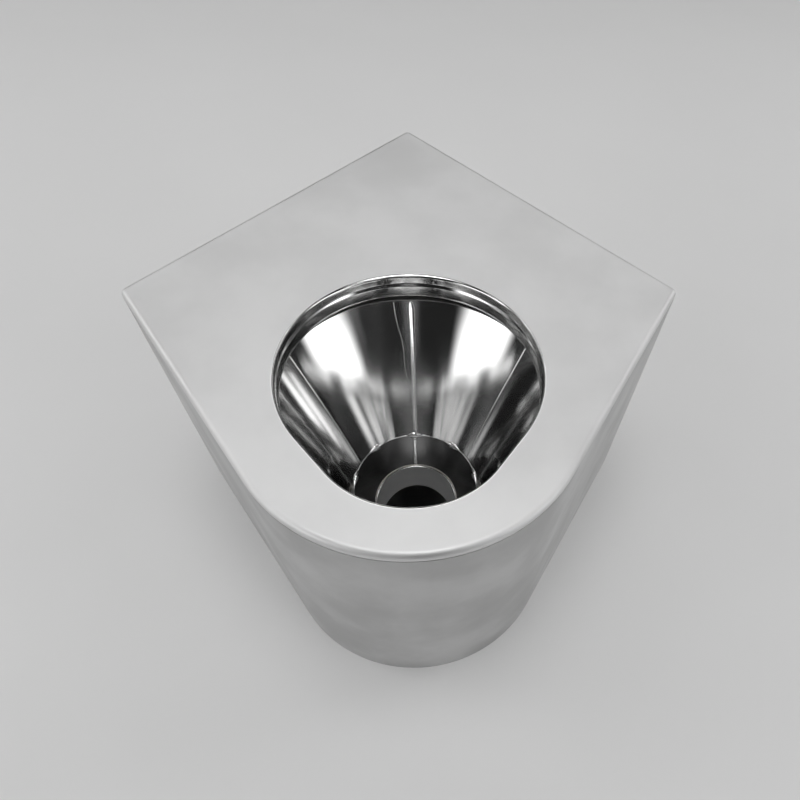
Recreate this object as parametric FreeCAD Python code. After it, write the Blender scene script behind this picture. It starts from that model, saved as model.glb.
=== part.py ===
import FreeCAD, Part
import math
import os

from FreeCAD import Vector

# Corner toilet pan, welded from stainless steel sheet, with a flushing rim and a built-in trap.
# Millimetres. The floor is z = 0, the nose points to -Y and the corner of the room lies at +Y.
# "Back" distances run forward along the middle line from the back corner of the deck.

# Body: a flat deck with a right-angled back corner, straight flanks and a round nose
WALL_SIDE = 480.0
HEIGHT = 400.0
NOSE_R = 199.0
NOSE_MARGIN = 51.0
CORNER_R = 8.0
SHEET = 2.0
FOLD_R = 7.0
DECK_FLANGE = 9.0
WALL_FLANGE = 30.0
JOINT_HEIGHT = 1.5
JOINT_DEPTH = 0.8
WALL_RETURN = 60.0
FLOOR_FLANGE_WIDTH = 35.0
FLOOR_FLANGE_SHEET = 3.0

# Opening in the deck: a rear circle and a smaller front circle joined by tangents of a given tilt
OPENING_BACK = 313.0
REAR_R = 152.0
FRONT_R = 111.0
TANGENT_TILT = 37.7

# Flushing rim: stepped lip, box channel behind it and the slot that wets the bowl
LIP_R = 4.0
LIP_SHEET = 2.0
LIP_STEP = 3.0
LIP_STEP_FALL = 2.0
LIP_UPPER = 11.0
LIP_DEPTH = 27.0
RIM_DEPTH = 36.0
RIM_SHEET = 1.5
CHANNEL_REACH = 18.0

# Bowl: egg above, round below, in three sheets, then a cone ring down to the throat
BOWL_SHEET = 2.0
SUMP_BACK = 512.0
SUMP_TOP_R = 80.0
SUMP_TOP_Z = 220.0
SUMP_RING_HEIGHT = 40.0
SEAM_TOP_ANGLE = 65.0
SEAM_FOOT_ANGLE = 56.0

# Trap: one tube size, two mitred bends of welded segments, water seal given by the height of the crown
TUBE_R = 55.0
TUBE_WALL = 1.5
BEND_R = 75.0
U_BEND_Z = 136.0
CROWN_Z = 148.0
SPIGOT_END_Z = 4.0
WELD_BEVEL = 1.3

# Flush inlet: a tube to the back of the channel, with a rubber cuff for the flush pipe
FLUSH_R = 14.0
FLUSH_WALL = 1.5
FLUSH_DROP = 22.8
FLUSH_END_BACK = 145.0
FLUSH_CLEARANCE = 1.5
CUFF_WALL = 4.5
CUFF_OVERLAP = 22.0
CUFF_SOCKET = 26.0
CUFF_STOP = 3.0

# Fixing: plates inside the wall returns with captive nuts, bolted from behind the wall
PLATE_THICKNESS = 4.0
PLATE_WIDTH = 44.0
PLATE_MARGIN = 4.0
PLATE_FOOT_Z = 40.0
PLATE_TOP_Z = 360.0
FIXING_SET_IN = 34.0
FIXING_LOW_Z = 100.0
FIXING_HIGH_Z = 300.0
FIXING_HOLE_R = 5.25
NUT_FLATS = 17.0
NUT_HEIGHT = 8.4

# Deck stiffeners and damping pads, both against the underside of the deck
RAIL_WIDTH = 30.0
RAIL_DEPTH = 20.0
RAIL_SHEET = 1.5
RAIL_FROM_RIM = 34.0
RAIL_START = 175.0
RAIL_END = 430.0
PAD_FROM_WALL = 22.0
PAD_GAP = 13.0
PAD_START = 120.0
PAD_END = 400.0
PAD_THICKNESS = 3.0

# Earth point under the deck, near the back corner and beside the flush inlet
EARTH_BACK = 90.0
EARTH_SIDE = 36.0
STUD_R = 3.0
STUD_LENGTH = 16.0
STUD_CLEARANCE = 0.2
TAG_LENGTH = 34.0
TAG_WIDTH = 13.0
TAG_THICKNESS = 1.5
WASHER_R = 6.0
WASHER_THICKNESS = 1.2
EARTH_NUT_FLATS = 10.0
EARTH_NUT_HEIGHT = 5.0

# Places that follow from the sizes above; the origin is under the middle of the outline's box
ROOT2 = math.sqrt(2.0)
CORNER_LOSS = CORNER_R * (ROOT2 - 1.0)
REAR_BACK = OPENING_BACK + REAR_R
FRONT_BACK = REAR_BACK + (REAR_R - FRONT_R) / math.sin(math.radians(TANGENT_TILT))
NOSE_BACK = FRONT_BACK + FRONT_R + NOSE_MARGIN - NOSE_R
Y_BACK = (NOSE_BACK + NOSE_R + CORNER_LOSS) / 2.0
DECK_UNDER = HEIGHT - SHEET
SKIRT_TOP = HEIGHT - DECK_FLANGE
RIM_FLOOR_Z = HEIGHT - RIM_DEPTH
BOWL_TOP_Z = RIM_FLOOR_Z - RIM_SHEET
LIP_REACH = LIP_R + LIP_STEP
THROAT_Z = SUMP_TOP_Z - SUMP_RING_HEIGHT
THROAT_R = TUBE_R - TUBE_WALL
RISER_BACK = SUMP_BACK - 2.0 * BEND_R
OUTLET_BACK = RISER_BACK - 2.0 * BEND_R
BEND_SEGMENTS = ("front", "middle", "rear")
MITRE_TURN = 180.0 / (len(BEND_SEGMENTS) + 1)
U_BEND = (SUMP_BACK - BEND_R, U_BEND_Z, -1)
CROWN_BEND = (RISER_BACK - BEND_R, CROWN_Z, 1)
PLATE_DEPTH = SHEET + PLATE_THICKNESS
RAIL_FAR = REAR_BACK / ROOT2 - REAR_R - CHANNEL_REACH - RAIL_FROM_RIM
RAIL_NEAR = RAIL_FAR - RAIL_WIDTH
UP = Vector(0, 0, 1)


def at(x, back, z):
    """A point given by its distance from the back corner along the middle line."""
    return Vector(x, Y_BACK - back, z)


def wall_point(side, along, depth, z):
    """A point by its distance along one wall from the back corner and its depth from that wall."""
    return at(side * (along - depth) / ROOT2, (along + depth) / ROOT2, z)


def wall_normal(side):
    """The direction from one wall into the pan."""
    return Vector(-side / ROOT2, -1 / ROOT2, 0)


def prism(points, height):
    """A straight-sided solid on a closed row of points."""
    return Part.Face(Part.makePolygon(points + points[:1])).extrude(UP * height)


def wall_block(side, along, depth, heights):
    """A block that lies square to one wall."""
    corners = [(along[0], depth[0]), (along[1], depth[0]), (along[1], depth[1]), (along[0], depth[1])]
    points = [wall_point(side, a, d, heights[0]) for a, d in corners]
    return prism(points, heights[1] - heights[0])


def hexagon(centre, axis, flats, height):
    """A nut blank standing on its centre point along an axis."""
    radius = flats / math.sqrt(3.0)
    turns = [corner * math.pi / 3 for corner in range(6)]
    blank = prism([Vector(math.cos(turn), math.sin(turn), 0) * radius for turn in turns], height)
    blank.Placement = FreeCAD.Placement(centre, FreeCAD.Rotation(UP, axis))
    return blank


# Outline of the body

def flank_angle():
    """The direction of the right flank's normal, for a flank from the wall corner tangent to the nose."""
    reach_x = WALL_SIDE / ROOT2
    reach_y = NOSE_BACK - WALL_SIDE / ROOT2
    return math.atan2(reach_y, reach_x) - math.acos(NOSE_R / math.hypot(reach_x, reach_y))


def wall_corner(inset):
    """The right corner of the outline, where the inset wall side meets the inset flank."""
    angle = flank_angle()
    wall_c = (Y_BACK - inset * ROOT2)
    flank_c = math.sin(angle) * (Y_BACK - NOSE_BACK) + NOSE_R - inset
    x = (flank_c - math.sin(angle) * wall_c) / (math.cos(angle) - math.sin(angle))
    return Vector(x, wall_c - x, 0)


def body_prism(inset, low, high, corner_r):
    """The body's outline, drawn in by an inset, between two heights, with rounded upright corners."""
    angle = flank_angle()
    radius = NOSE_R - inset
    centre = at(0, NOSE_BACK, low)
    right = wall_corner(inset) + UP * low
    left = Vector(-right.x, right.y, low)
    back = at(0, inset * ROOT2, low)
    touch_right = centre + Vector(math.cos(angle), math.sin(angle), 0) * radius
    touch_left = Vector(-touch_right.x, touch_right.y, low)
    nose = Part.Arc(touch_right, centre - Vector(0, radius, 0), touch_left)
    sides = [Part.LineSegment(back, right), Part.LineSegment(right, touch_right), nose,
             Part.LineSegment(touch_left, left), Part.LineSegment(left, back)]
    solid = Part.Face(Part.Wire([side.toShape() for side in sides])).extrude(UP * (high - low))
    corners = [edge for edge in solid.Edges
               if edge.BoundBox.ZLength > 1 and any(edge.CenterOfMass.distanceToPoint(
                   Vector(p.x, p.y, (low + high) / 2)) < 0.01 for p in (back, right, left))]
    return solid.makeFillet(corner_r, corners)


def round_top(solid, height, radius):
    """Round over every edge of a solid's top face."""
    return solid.makeFillet(radius, [e for e in solid.Edges if e.BoundBox.ZMin > height - 0.01])


def body_band(inset, thickness, low, high):
    """An upright sheet that follows the body's outline all round."""
    outer = body_prism(inset, low, high, CORNER_R - inset)
    return outer.cut(body_prism(inset + thickness, low, high, max(CORNER_R - inset - thickness, SHEET)))


# Outline of the opening, used by the deck, the rim and the bowl

def around_opening(profile):
    """Carry a flat profile once round the opening to make a closed ring."""
    slant = math.radians(TANGENT_TILT)
    flat = math.cos(slant) * (FRONT_BACK - REAR_BACK)

    def placed(radius, angle, centre_back):
        face = profile.copy()
        face.translate(Vector(radius, 0, 0))
        face.rotate(Vector(), UP, angle)
        face.translate(at(0, centre_back, 0))
        return face

    start = -TANGENT_TILT
    end = 180 + TANGENT_TILT
    rear = placed(REAR_R, start, REAR_BACK).revolve(at(0, REAR_BACK, 0), UP, end - start)
    front = placed(FRONT_R, end, FRONT_BACK).revolve(at(0, FRONT_BACK, 0), UP, 360 + start - end)
    along = Vector(-math.sin(slant), -math.cos(slant), 0) * flat
    right = placed(REAR_R, start, REAR_BACK).extrude(along)
    left = placed(REAR_R, end, REAR_BACK).extrude(Vector(-along.x, along.y, 0))
    return rear.fuse([front, right, left]).removeSplitter()


def section(points):
    """A flat section from (inward, height) points, where a third value bulges the way to that point."""
    edges = []
    for start, end in zip(points, points[1:] + points[:1]):
        a = Vector(-start[0], 0, start[1])
        b = Vector(-end[0], 0, end[1])
        if len(end) == 3:
            edges.append(Part.Arc(a, Vector(-end[2][0], 0, end[2][1]), b).toShape())
        else:
            edges.append(Part.LineSegment(a, b).toShape())
    return Part.Face(Part.Wire(edges))


def opening_band(inward, outward, low, high):
    """A ring of rectangular section round the opening."""
    return around_opening(section([(inward, low), (outward, low), (outward, high), (inward, high)]))


def opening_prism(inward, low, high):
    """The space inside the opening, drawn in by a distance, between two heights."""
    return funnel(inward, REAR_BACK, FRONT_BACK, (REAR_R - inward, FRONT_R - inward), low, high)


def funnel(inward, foot_rear, foot_front, foot_radii, low, high):
    """A solid between the opening's egg above and another egg, or a circle, below.

    Arcs join arcs of the same span and the egg's straight stretches run out as flat facets,
    the way such a transition is rolled from sheet.
    """
    tilt = math.radians(TANGENT_TILT)
    rings = []
    spans = [(-tilt, math.pi + tilt), (math.pi + tilt, 2 * math.pi - tilt)]
    for z, centres, radii in ((high, (REAR_BACK, FRONT_BACK), (REAR_R - inward, FRONT_R - inward)),
                              (low, (foot_rear, foot_front), foot_radii)):
        arcs = []
        for back, radius, span in zip(centres, radii, spans):
            points = [at(0, back, z) + Vector(math.cos(a), math.sin(a), 0) * radius
                      for a in (span[0], sum(span) / 2, span[1])]
            arcs.append(Part.Arc(*points).toShape())
        rings.append(arcs)
    faces = []
    for upper, lower in zip(*rings):
        faces.append(Part.makeRuledSurface(upper, lower))
    caps = []
    for arcs in rings:
        rear, front = arcs
        edges = [rear, front]
        for a, b in ((rear.Vertexes[1], front.Vertexes[0]), (front.Vertexes[1], rear.Vertexes[0])):
            if a.Point.distanceToPoint(b.Point) > 1e-6:
                edges.append(Part.LineSegment(a.Point, b.Point).toShape())
        caps.append(Part.Face(Part.Wire(Part.__sortEdges__(edges))))
    for upper_end, lower_end in ((1, 0), (0, 1)):
        rear_top = rings[0][0].Vertexes[upper_end].Point
        front_top = rings[0][1].Vertexes[lower_end].Point
        rear_foot = rings[1][0].Vertexes[upper_end].Point
        front_foot = rings[1][1].Vertexes[lower_end].Point
        corners = [rear_top, front_top, front_foot]
        if rear_foot.distanceToPoint(front_foot) > 1e-6:
            corners.append(rear_foot)
        faces.append(Part.Face(Part.makePolygon(corners + corners[:1])))
    shell = Part.makeShell(faces + caps)
    shell.sewShape()
    return Part.makeSolid(shell)


# Deck, skirt and floor flange

def deck_plate():
    """Flat satin deck with its edges folded down, deeper along the walls, and the opening cut out."""
    outer = round_top(body_prism(0, SKIRT_TOP, HEIGHT, CORNER_R), HEIGHT, FOLD_R)
    inner = body_prism(SHEET, SKIRT_TOP, DECK_UNDER, CORNER_R - SHEET)
    inner = round_top(inner, DECK_UNDER, FOLD_R - SHEET)
    tray = outer.cut(inner).cut(opening_prism(0, SKIRT_TOP, HEIGHT))
    low = HEIGHT - WALL_FLANGE
    flange = body_band(0, SHEET, low, SKIRT_TOP).common(wall_gap(low, SKIRT_TOP))
    return tray.fuse(flange).removeSplitter().cut(flush_slot())


def wall_gap(low, high):
    """The open wall sides: everything nearer the back corner than the returns."""
    reach = WALL_SIDE - WALL_RETURN
    points = [wall_point(1, 0, 0, low), wall_point(1, reach, 0, low),
              wall_point(1, reach, reach, low), wall_point(-1, reach, 0, low)]
    return prism(points, high - low)


def front_skirt():
    """One sheet bent round both flanks and the nose, with its rear edges returned along the walls."""
    skirt = body_band(0, SHEET, 0, SKIRT_TOP).cut(wall_gap(0, SKIRT_TOP))
    joint = body_band(0, JOINT_DEPTH, SKIRT_TOP - JOINT_HEIGHT, SKIRT_TOP)
    return skirt.cut(joint).cut(fixing_bores())


def floor_flange():
    """Inward foot of the skirt, flat on the floor."""
    band = body_band(SHEET, FLOOR_FLANGE_WIDTH, 0, FLOOR_FLANGE_SHEET)
    return band.cut(wall_gap(0, FLOOR_FLANGE_SHEET))


# Fixing plates, nuts and earth point

def fixing_places():
    """Each wall fixing as its side and height."""
    return [(side, z) for side in (-1, 1) for z in (FIXING_LOW_Z, FIXING_HIGH_Z)]


def fixing_bores():
    """The clearance bores of all wall fixings, through return, plate and nut."""
    depth = PLATE_DEPTH + NUT_HEIGHT
    bores = [Part.makeCylinder(FIXING_HOLE_R, depth, wall_point(side, WALL_SIDE - FIXING_SET_IN, 0, z),
                               wall_normal(side)) for side, z in fixing_places()]
    return Part.makeCompound(bores)


def fixing_plate(side):
    """Backing plate welded inside a wall return."""
    start = WALL_SIDE - WALL_RETURN + PLATE_MARGIN
    plate = wall_block(side, (start, start + PLATE_WIDTH), (SHEET, PLATE_DEPTH), (PLATE_FOOT_Z, PLATE_TOP_Z))
    return plate.cut(fixing_bores())


def weld_nuts():
    """Captive nuts on the inner faces of the fixing plates."""
    nuts = []
    for side, z in fixing_places():
        seat = wall_point(side, WALL_SIDE - FIXING_SET_IN, PLATE_DEPTH, z)
        nuts.append(hexagon(seat, wall_normal(side), NUT_FLATS, NUT_HEIGHT).cut(fixing_bores()))
    return Part.makeCompound(nuts)


def earth_seat(drop):
    """A point on the earth stud's axis, at a distance below the deck sheet."""
    return at(EARTH_SIDE, EARTH_BACK, DECK_UNDER - drop)


def earth_bore():
    """The bore of every piece that the earth stud passes through."""
    return Part.makeCylinder(STUD_R + STUD_CLEARANCE, STUD_LENGTH, earth_seat(0), -UP)


def earth_tag():
    """Flat tag under the deck, with the stud's hole and a second hole for the earth wire's screw."""
    half = TAG_WIDTH / 2
    corners = [(-half, -half), (half, -half), (half, TAG_LENGTH - half), (-half, TAG_LENGTH - half)]
    low = DECK_UNDER - TAG_THICKNESS
    tag = prism([at(EARTH_SIDE + x, EARTH_BACK + back, low) for x, back in corners], TAG_THICKNESS)
    wire_seat = at(EARTH_SIDE, EARTH_BACK + TAG_LENGTH - TAG_WIDTH, DECK_UNDER)
    wire_hole = Part.makeCylinder(STUD_R, TAG_THICKNESS, wire_seat, -UP)
    return tag.cut(earth_bore()).cut(wire_hole)


def earth_washer():
    """Plain washer under the tag."""
    return Part.makeCylinder(WASHER_R, WASHER_THICKNESS, earth_seat(TAG_THICKNESS), -UP).cut(earth_bore())


def earth_nut():
    """Hexagon nut under the washer."""
    seat = earth_seat(TAG_THICKNESS + WASHER_THICKNESS)
    return hexagon(seat, -UP, EARTH_NUT_FLATS, EARTH_NUT_HEIGHT).cut(earth_bore())


# Stiffeners and pads under the deck

def deck_rail(side):
    """Channel-section stiffener with its two edges welded to the deck."""
    along = (RAIL_START, RAIL_END)
    outer = wall_block(side, along, (RAIL_NEAR, RAIL_FAR), (DECK_UNDER - RAIL_DEPTH, DECK_UNDER))
    hollow = wall_block(side, along, (RAIL_NEAR + RAIL_SHEET, RAIL_FAR - RAIL_SHEET),
                        (DECK_UNDER - RAIL_DEPTH + RAIL_SHEET, DECK_UNDER))
    return outer.cut(hollow)


def sound_pad(side):
    """Damping pad glued under the deck between the wall edge and the stiffener."""
    return wall_block(side, (PAD_START, PAD_END), (PAD_FROM_WALL, RAIL_NEAR - PAD_GAP),
                      (DECK_UNDER - PAD_THICKNESS, DECK_UNDER))


# Flushing rim

def rim_ring():
    """Polished lip: rounds over from the deck, steps in once and ends above the flush slot."""
    bend = math.sqrt(0.5)
    inner_r = LIP_R - LIP_SHEET
    ledge_z = HEIGHT - LIP_UPPER
    step_z = ledge_z - LIP_STEP_FALL
    drop = LIP_SHEET * math.tan(math.atan2(LIP_STEP, LIP_STEP_FALL) / 2)
    back_x = LIP_REACH - LIP_SHEET
    return around_opening(section([
        (0, HEIGHT - LIP_SHEET),
        (0, HEIGHT),
        (LIP_R, HEIGHT - LIP_R, (LIP_R * bend, HEIGHT - LIP_R + LIP_R * bend)),
        (LIP_R, ledge_z),
        (LIP_REACH, step_z),
        (LIP_REACH, HEIGHT - LIP_DEPTH),
        (back_x, HEIGHT - LIP_DEPTH),
        (back_x, step_z - drop),
        (inner_r, ledge_z - drop),
        (inner_r, HEIGHT - LIP_R),
    ]))


def flush_axis(back):
    """A point on the flush inlet's axis."""
    return at(0, back, HEIGHT - FLUSH_DROP)


def flush_length(radius):
    """A round bar along the flush inlet, from inside the rim to the tube's open end."""
    return Part.makeCylinder(radius, REAR_BACK - FLUSH_END_BACK, flush_axis(REAR_BACK), Vector(0, 1, 0))


def flush_slot():
    """The slot in the deck's back corner that lets the flush pipe through, open at the foot."""
    radius = FLUSH_R + FLUSH_CLEARANCE
    bar = Part.makeCylinder(radius, FLUSH_END_BACK, flush_axis(FLUSH_END_BACK), Vector(0, 1, 0))
    low = HEIGHT - WALL_FLANGE
    corners = [(-radius, 0), (radius, 0), (radius, FLUSH_END_BACK), (-radius, FLUSH_END_BACK)]
    foot = prism([at(x, back, low) for x, back in corners], WALL_FLANGE - FLUSH_DROP)
    return bar.fuse(foot)


def rim_channel_wall():
    """Outer wall of the rim channel, with the flush inlet's hole at the back."""
    wall = opening_band(-CHANNEL_REACH + RIM_SHEET, -CHANNEL_REACH, RIM_FLOOR_Z, DECK_UNDER)
    return wall.cut(flush_length(FLUSH_R - FLUSH_WALL))


def rim_channel_floor():
    """Flat ring that closes the channel and carries the bowl's top edge."""
    return opening_band(LIP_REACH, -CHANNEL_REACH, BOWL_TOP_Z, RIM_FLOOR_Z)


def flush_inlet_pipe():
    """Flush tube, cut to sit against the round back of the channel."""
    pipe = flush_length(FLUSH_R).cut(flush_length(FLUSH_R - FLUSH_WALL))
    return pipe.cut(opening_prism(-CHANNEL_REACH, BOWL_TOP_Z, HEIGHT))


def flush_inlet_seal():
    """Rubber cuff on the end of the flush tube, with a stop between the tube and the flush pipe's socket."""
    back = Vector(0, 1, 0)
    start = flush_axis(FLUSH_END_BACK + CUFF_OVERLAP)
    stop = flush_axis(FLUSH_END_BACK)
    socket = flush_axis(FLUSH_END_BACK - CUFF_STOP)
    cuff = Part.makeCylinder(FLUSH_R + CUFF_WALL, CUFF_OVERLAP + CUFF_STOP + CUFF_SOCKET, start, back)
    cuff = cuff.cut(Part.makeCylinder(FLUSH_R, CUFF_OVERLAP, start, back))
    cuff = cuff.cut(Part.makeCylinder(FLUSH_R - FLUSH_WALL, CUFF_STOP, stop, back))
    return cuff.cut(Part.makeCylinder(FLUSH_R, CUFF_SOCKET, socket, back))


# Bowl

def bowl_shell():
    """Egg-to-round bowl as one wall, before it is divided into its sheets."""
    def body(outward):
        radius = SUMP_TOP_R + outward
        return funnel(LIP_REACH - outward, SUMP_BACK, SUMP_BACK, (radius, radius), SUMP_TOP_Z, BOWL_TOP_Z)
    return body(BOWL_SHEET).cut(body(0))


def rear_wedge(side):
    """The space of one rear sheet: beside the middle line and behind its side seam."""
    top_angle = math.radians(SEAM_TOP_ANGLE)
    foot_angle = math.radians(SEAM_FOOT_ANGLE)
    top_r = REAR_R - LIP_REACH
    top = (top_r * math.sin(top_angle), REAR_BACK - top_r * math.cos(top_angle))
    foot = (SUMP_TOP_R * math.sin(foot_angle), SUMP_BACK - SUMP_TOP_R * math.cos(foot_angle))
    slope = (foot[1] - top[1]) / (foot[0] - top[0])
    reach = REAR_R
    inside = foot[0] / 2
    points = [at(0, SUMP_BACK, SUMP_TOP_Z),
              at(side * inside, foot[1] + (inside - foot[0]) * slope, SUMP_TOP_Z),
              at(side * reach, foot[1] + (reach - foot[0]) * slope, SUMP_TOP_Z),
              at(side * reach, REAR_BACK - REAR_R, SUMP_TOP_Z),
              at(0, REAR_BACK - REAR_R, SUMP_TOP_Z)]
    return prism(points, BOWL_TOP_Z - SUMP_TOP_Z)


def bowl_panel(side):
    """One rear sheet of the bowl."""
    return bowl_shell().common(rear_wedge(side))


def bowl_panel_front():
    """The sheet that wraps the sides and front of the bowl."""
    return bowl_shell().cut(rear_wedge(1)).cut(rear_wedge(-1))


def sump_ring():
    """Cone ring between the bowl and the throat."""
    foot = at(0, SUMP_BACK, THROAT_Z)

    def cone(outward):
        return Part.makeCone(THROAT_R + outward, SUMP_TOP_R + outward, SUMP_RING_HEIGHT, foot, UP)
    return cone(BOWL_SHEET).cut(cone(0))


# Trap

def trap_run(back, z, direction, reach):
    """A straight length of trap tube, as far to both sides of a point on its axis."""
    start = at(0, back, z) - direction * reach
    outer = Part.makeCylinder(TUBE_R, 2 * reach, start, direction)
    return outer.cut(Part.makeCylinder(THROAT_R, 2 * reach, start, direction))


def tube(back, low, high):
    """An upright length of trap tube."""
    return trap_run(back, (low + high) / 2, UP, (high - low) / 2)


def bend_wedge(bend, start, end):
    """The space of a bend between two angles, which run from its front end over to its rear end."""
    centre_back, z, rise = bend
    reach = 2 * (BEND_R + TUBE_R)
    points = [at(-reach, centre_back, z)]
    for angle in (start, end):
        turn = math.radians(angle)
        points.append(at(-reach, centre_back + reach * math.cos(turn), z + rise * reach * math.sin(turn)))
    return Part.Face(Part.makePolygon(points + points[:1])).extrude(Vector(2 * reach, 0, 0))


def bend_segment(bend, number):
    """One welded segment of a mitred bend, counted from the front."""
    centre_back, z, rise = bend
    angle = MITRE_TURN * (number + 1)
    turn = math.radians(angle)
    direction = Vector(0, math.sin(turn), rise * math.cos(turn))
    run = trap_run(centre_back + BEND_R * math.cos(turn), z + rise * BEND_R * math.sin(turn), direction,
                   BEND_R + TUBE_R)
    return run.common(bend_wedge(bend, angle - MITRE_TURN / 2, angle + MITRE_TURN / 2))


def bend_end(bend, last):
    """The half segment at a bend's front or rear end, which the straight tube runs into."""
    centre_back, z, rise = bend
    side = -1 if last else 1
    upright = trap_run(centre_back + side * BEND_R, z, UP, BEND_R + TUBE_R)
    angle = 180 if last else 0
    half = MITRE_TURN / 2
    return upright.common(bend_wedge(bend, angle - half if last else angle, angle if last else angle + half))


def trap_inlet_tube():
    """Throat below the sump ring, mitred at its foot."""
    return tube(SUMP_BACK, U_BEND_Z, THROAT_Z).fuse(bend_end(U_BEND, False)).removeSplitter()


def trap_riser():
    """Upright tube between the two bends, mitred at both ends."""
    ends = [bend_end(U_BEND, True), bend_end(CROWN_BEND, False)]
    return tube(RISER_BACK, U_BEND_Z, CROWN_Z).fuse(ends).removeSplitter()


def outlet_spigot():
    """Floor outlet, bevelled at the top for its weld to the crown."""
    shoulder = at(0, OUTLET_BACK, CROWN_Z - WELD_BEVEL)
    edge = Part.makeCylinder(TUBE_R, WELD_BEVEL, shoulder, UP)
    edge = edge.cut(Part.makeCone(TUBE_R, TUBE_R - WELD_BEVEL, WELD_BEVEL, shoulder, UP))
    return tube(OUTLET_BACK, SPIGOT_END_Z, CROWN_Z).cut(edge)


PIECES = {
    "deck_plate": deck_plate(),
    "rim_ring": rim_ring(),
    "rim_channel_wall": rim_channel_wall(),
    "rim_channel_floor": rim_channel_floor(),
    "bowl_panel_left": bowl_panel(-1),
    "bowl_panel_right": bowl_panel(1),
    "bowl_panel_front": bowl_panel_front(),
    "sump_ring": sump_ring(),
    "trap_inlet_tube": trap_inlet_tube(),
    "trap_riser": trap_riser(),
    "trap_crown_bend_end": bend_end(CROWN_BEND, True),
    "outlet_spigot": outlet_spigot(),
    "flush_inlet_pipe": flush_inlet_pipe(),
    "flush_inlet_seal": flush_inlet_seal(),
    "front_skirt": front_skirt(),
    "floor_flange": floor_flange(),
    "fixing_plate_left": fixing_plate(-1),
    "fixing_plate_right": fixing_plate(1),
    "weld_nuts": weld_nuts(),
    "deck_rail_left": deck_rail(-1),
    "deck_rail_right": deck_rail(1),
    "sound_pad_left": sound_pad(-1),
    "sound_pad_right": sound_pad(1),
    "earth_stud": Part.makeCylinder(STUD_R, STUD_LENGTH, earth_seat(0), -UP),
    "earth_tag": earth_tag(),
    "earth_washer": earth_washer(),
    "earth_nut": earth_nut(),
}

for number, place in enumerate(BEND_SEGMENTS):
    PIECES["trap_u_bend_" + place] = bend_segment(U_BEND, number)
    PIECES["trap_crown_bend_" + place] = bend_segment(CROWN_BEND, number)

os.makedirs("parts", exist_ok=True)
for name, shape in PIECES.items():
    shape.exportStep(f"parts/{name}.step")
    print(name, len(shape.Solids), shape.isValid(), round(shape.Volume / 1000, 2))
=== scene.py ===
import math

import bpy
from mathutils import Matrix, Vector


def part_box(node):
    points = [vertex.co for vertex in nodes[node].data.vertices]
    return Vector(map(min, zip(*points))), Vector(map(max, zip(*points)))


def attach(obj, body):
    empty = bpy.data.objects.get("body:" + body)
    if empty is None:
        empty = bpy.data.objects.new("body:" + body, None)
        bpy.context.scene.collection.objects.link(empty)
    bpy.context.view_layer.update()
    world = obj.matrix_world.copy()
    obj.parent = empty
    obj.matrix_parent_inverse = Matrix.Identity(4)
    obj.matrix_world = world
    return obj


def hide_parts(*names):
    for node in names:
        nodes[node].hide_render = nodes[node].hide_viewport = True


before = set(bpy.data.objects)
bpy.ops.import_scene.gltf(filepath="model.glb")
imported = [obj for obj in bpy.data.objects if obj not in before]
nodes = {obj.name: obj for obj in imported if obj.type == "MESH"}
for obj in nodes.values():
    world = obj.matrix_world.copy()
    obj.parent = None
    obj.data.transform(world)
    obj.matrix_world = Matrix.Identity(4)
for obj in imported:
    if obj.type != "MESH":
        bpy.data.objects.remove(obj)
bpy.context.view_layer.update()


# Bowl: three stainless sheets, rolled from the egg-shaped opening down to a round foot. They are welded at
# the middle of the back and along both sides and polished in rings, so that lamps show in them as bright
# bands that run down from the rim.

class Signal:
    """A shader value: arithmetic on it adds Math nodes to its tree."""

    def __init__(self, bench, socket):
        self.bench = bench
        self.socket = socket

    def math(self, operation, first, second=0.0):
        return self.bench.add("ShaderNodeMath", {"operation": operation}, {0: first, 1: second})

    def __add__(self, other):
        return self.math("ADD", self, other)

    def __radd__(self, other):
        return self.math("ADD", other, self)

    def __sub__(self, other):
        return self.math("SUBTRACT", self, other)

    def __rsub__(self, other):
        return self.math("SUBTRACT", other, self)

    def __mul__(self, other):
        return self.math("MULTIPLY", self, other)

    def __rmul__(self, other):
        return self.math("MULTIPLY", other, self)

    def __abs__(self):
        return self.math("ABSOLUTE", self)


class Bench:
    """Adds nodes to one node tree."""

    def __init__(self, tree):
        self.tree = tree

    def feed(self, socket, value):
        if isinstance(value, Signal):
            self.tree.links.new(value.socket, socket)
        else:
            socket.default_value = value

    def add(self, kind, settings, sockets, output=0):
        node = self.tree.nodes.new(kind)
        for key, value in settings.items():
            setattr(node, key, value)
        for key, value in sockets.items():
            self.feed(node.inputs[key], value)
        return Signal(self, node.outputs[output])

    def part(self, vector, axis):
        """One part of a vector."""
        return self.add("ShaderNodeSeparateXYZ", {}, {"Vector": vector}, axis)

    def fade(self, value, start, end):
        """A smooth step from 0 at start to 1 at end."""
        limits = {"Value": value, "From Min": start, "From Max": end}
        return self.add("ShaderNodeMapRange", {"interpolation_type": "SMOOTHSTEP"}, limits)


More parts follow.
